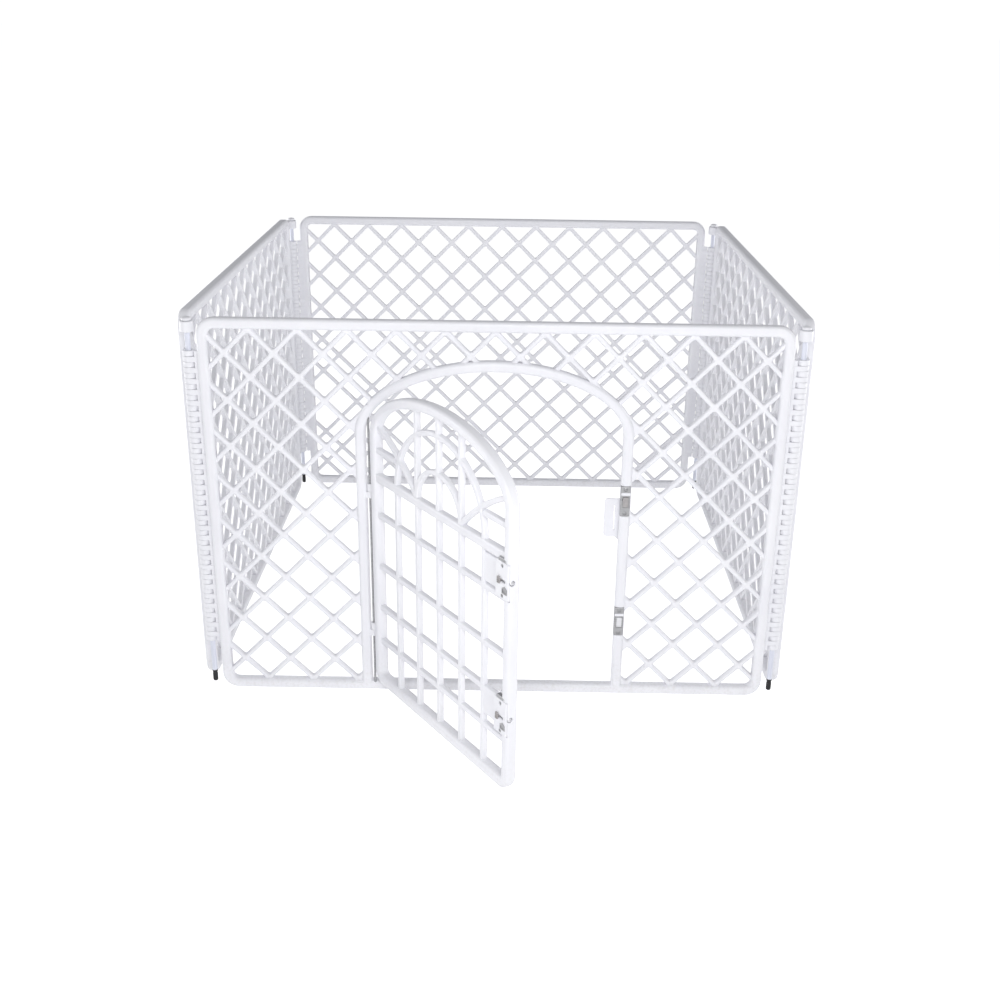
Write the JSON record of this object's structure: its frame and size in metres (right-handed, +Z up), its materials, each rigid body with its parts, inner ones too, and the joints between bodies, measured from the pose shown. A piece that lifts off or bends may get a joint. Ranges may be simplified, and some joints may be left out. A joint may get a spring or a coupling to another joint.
{
  "type": "pet playpen",
  "caption": "Square pet playpen of moulded diamond-lattice panels joined by lift-out corner rods, with an arched swing door in the front.",
  "frame": {"origin": "on the floor under the middle of the footprint, which includes the open door", "axes": "+Z up; the front panel with the door faces -Y; +X to the right of a person who faces the door"},
  "size_m": [0.926, 1.2288, 0.6],
  "materials": {
    "white_plastic": "satin",
    "coated_steel": "satin",
    "steel": "brushed",
    "dark_plastic": "matte",
    "rubber": "matte"
  },
  "bodies": {
    "front": {"front_panel": "white_plastic", "door_hinge_rod": "steel", "keeper_lower": "steel", "keeper_upper": "steel", "keeper_screw_lower_1": "steel", "keeper_screw_lower_2": "steel", "keeper_screw_upper_1": "steel", "keeper_screw_upper_2": "steel"},
    "left": {"left_panel": "white_plastic"},
    "right": {"right_panel": "white_plastic"},
    "back": {"back_panel": "white_plastic"},
    "door_leaf": {"door": "white_plastic", "latch_case_lower": "white_plastic", "latch_case_upper": "white_plastic", "latch_screw_lower_1": "steel", "latch_screw_lower_2": "steel", "latch_screw_upper_1": "steel", "latch_screw_upper_2": "steel"},
    "bolt_lower": {"latch_bolt_lower": "steel", "latch_knob_lower": "dark_plastic"},
    "bolt_upper": {"latch_bolt_upper": "steel", "latch_knob_upper": "dark_plastic"},
    "rod_front_left": {"rod_front_left": "coated_steel", "rod_cap_front_left": "white_plastic", "rod_foot_front_left": "rubber"},
    "rod_front_right": {"rod_front_right": "coated_steel", "rod_cap_front_right": "white_plastic", "rod_foot_front_right": "rubber"},
    "rod_back_right": {"rod_back_right": "coated_steel", "rod_cap_back_right": "white_plastic", "rod_foot_back_right": "rubber"},
    "rod_back_left": {"rod_back_left": "coated_steel", "rod_cap_back_left": "white_plastic", "rod_foot_back_left": "rubber"}
  },
  "joints": [
    {"name": "fold_left", "type": "hinge", "parent": "front", "child": "left", "pos_m": [-0.444, -0.29261, 0], "axis": [0, 0, 1], "range_deg": [-85, 85]},
    {"name": "fold_right", "type": "hinge", "parent": "front", "child": "right", "pos_m": [0.444, -0.29261, 0], "axis": [0, 0, 1], "range_deg": [-85, 85]},
    {"name": "fold_back", "type": "hinge", "parent": "left", "child": "back", "pos_m": [-0.444, 0.5954, 0], "axis": [0, 0, 1], "range_deg": [-85, 85]},
    {"name": "door_swing", "type": "hinge", "parent": "front", "child": "door_leaf", "pos_m": [-0.185, -0.30861, 0], "axis": [0, 0, 1], "range_deg": [-50, 55]},
    {"name": "bolt_slide_lower", "type": "slide", "parent": "door_leaf", "child": "bolt_lower", "axis": [0.5736, -0.8192, 0], "range_m": [0, 0.01]},
    {"name": "bolt_slide_upper", "type": "slide", "parent": "door_leaf", "child": "bolt_upper", "axis": [0.5736, -0.8192, 0], "range_m": [0, 0.01]},
    {"name": "lift_rod_front_left", "type": "slide", "parent": "front", "child": "rod_front_left", "axis": [0, 0, 1], "range_m": [0, 0.55]},
    {"name": "lift_rod_front_right", "type": "slide", "parent": "front", "child": "rod_front_right", "axis": [0, 0, 1], "range_m": [0, 0.55]},
    {"name": "lift_rod_back_right", "type": "slide", "parent": "right", "child": "rod_back_right", "axis": [0, 0, 1], "range_m": [0, 0.55]},
    {"name": "lift_rod_back_left", "type": "slide", "parent": "left", "child": "rod_back_left", "axis": [0, 0, 1], "range_m": [0, 0.55]}
  ],
  "couplings": [
    {"joint": "fold_right", "follows": "fold_left", "ratio": 1},
    {"joint": "fold_back", "follows": "fold_left", "ratio": -1}
  ]
}
